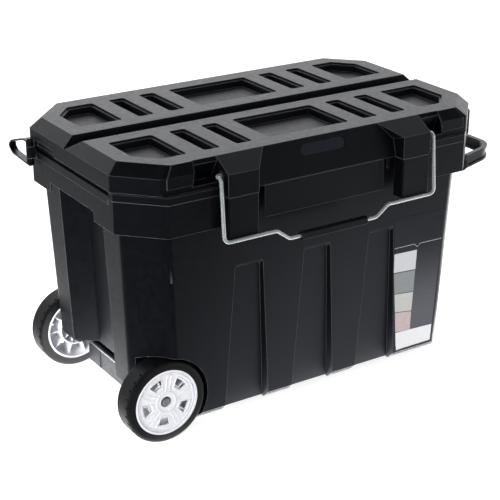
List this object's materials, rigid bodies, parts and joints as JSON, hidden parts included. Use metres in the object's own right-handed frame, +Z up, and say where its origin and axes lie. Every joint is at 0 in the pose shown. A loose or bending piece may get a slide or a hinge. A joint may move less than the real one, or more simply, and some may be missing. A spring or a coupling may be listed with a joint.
{
  "type": "wheeled jobsite storage box",
  "caption": "Black moulded storage chest on wheels with a hinged lid, wire bail latch, tow handle and swing loops.",
  "frame": {"origin": "on the floor under the centre of the box body, on the face of the central skid rail", "axes": "+X along the length, from the wheels to the tow handle; +Y from the latch side to the hinge side; +Z up"},
  "size_m": [1.018, 0.5867, 0.6102],
  "materials": {
    "box_plastic": "fine moulded grain, near black",
    "badge_plastic": "smooth, blue-black",
    "label_film": "printed film left bare, light grey",
    "bright_zinc_wire": "bright zinc plate",
    "zinc_steel": "satin zinc plate",
    "grip_plastic": "satin black",
    "handle_plastic": "satin black",
    "white_rim_plastic": "semi-gloss white",
    "tyre_rubber": "matte black"
  },
  "bodies": {
    "tub": {"tub_shell": "box_plastic", "front_label": "label_film", "hinge_rod": "zinc_steel", "hinge_rod_caps": "grip_plastic", "axle": "zinc_steel", "axle_spacers": "grip_plastic", "axle_washers": "zinc_steel", "push_nuts": "zinc_steel", "axle_saddles": "grip_plastic", "saddle_screws": "zinc_steel", "tow_handle_pins": "zinc_steel", "swing_loop_left_pin": "zinc_steel", "swing_loop_right_pin": "zinc_steel"},
    "lid": {"lid_shell": "box_plastic", "badge_plate": "badge_plastic", "bail_bushes": "grip_plastic"},
    "bail": {"bail_wire": "bright_zinc_wire", "bail_grip_front": "grip_plastic", "bail_grip_back": "grip_plastic"},
    "wheel_front": {"wheel_rim_front": "white_rim_plastic", "wheel_tyre_front": "tyre_rubber"},
    "wheel_back": {"wheel_rim_back": "white_rim_plastic", "wheel_tyre_back": "tyre_rubber"},
    "tow_handle": {"tow_handle": "handle_plastic"},
    "swing_loop_left": {"swing_loop_left": "handle_plastic"},
    "swing_loop_right": {"swing_loop_right": "handle_plastic"}
  },
  "joints": [
    {"name": "lid_hinge", "type": "hinge", "parent": "tub", "child": "lid", "pos_m": [0, 0.2745, 0.5349], "axis": [-1, 0, 0], "range_deg": [0, 100]},
    {"name": "bail_pivot", "type": "hinge", "parent": "lid", "child": "bail", "pos_m": [0, -0.268, 0.5762], "axis": [-1, 0, 0], "range_deg": [0, 150]},
    {"name": "front_wheel_spin", "type": "hinge", "parent": "tub", "child": "wheel_front", "pos_m": [-0.3672, -0.2083, 0.0916], "axis": [0, 1, 0], "continuous": true},
    {"name": "back_wheel_spin", "type": "hinge", "parent": "tub", "child": "wheel_back", "pos_m": [-0.3672, 0.2083, 0.0916], "axis": [0, 1, 0], "continuous": true},
    {"name": "tow_handle_pivot", "type": "hinge", "parent": "tub", "child": "tow_handle", "pos_m": [0.438, 0, 0.4472], "axis": [0, 1, 0], "range_deg": [0, 75]},
    {"name": "left_loop_swing", "type": "hinge", "parent": "tub", "child": "swing_loop_left", "pos_m": [-0.462, 0.168, 0.5352], "axis": [0, 0, 1], "range_deg": [0, 170]},
    {"name": "right_loop_swing", "type": "hinge", "parent": "tub", "child": "swing_loop_right", "pos_m": [0.462, -0.168, 0.5352], "axis": [0, 0, -1], "range_deg": [0, 170]}
  ]
}
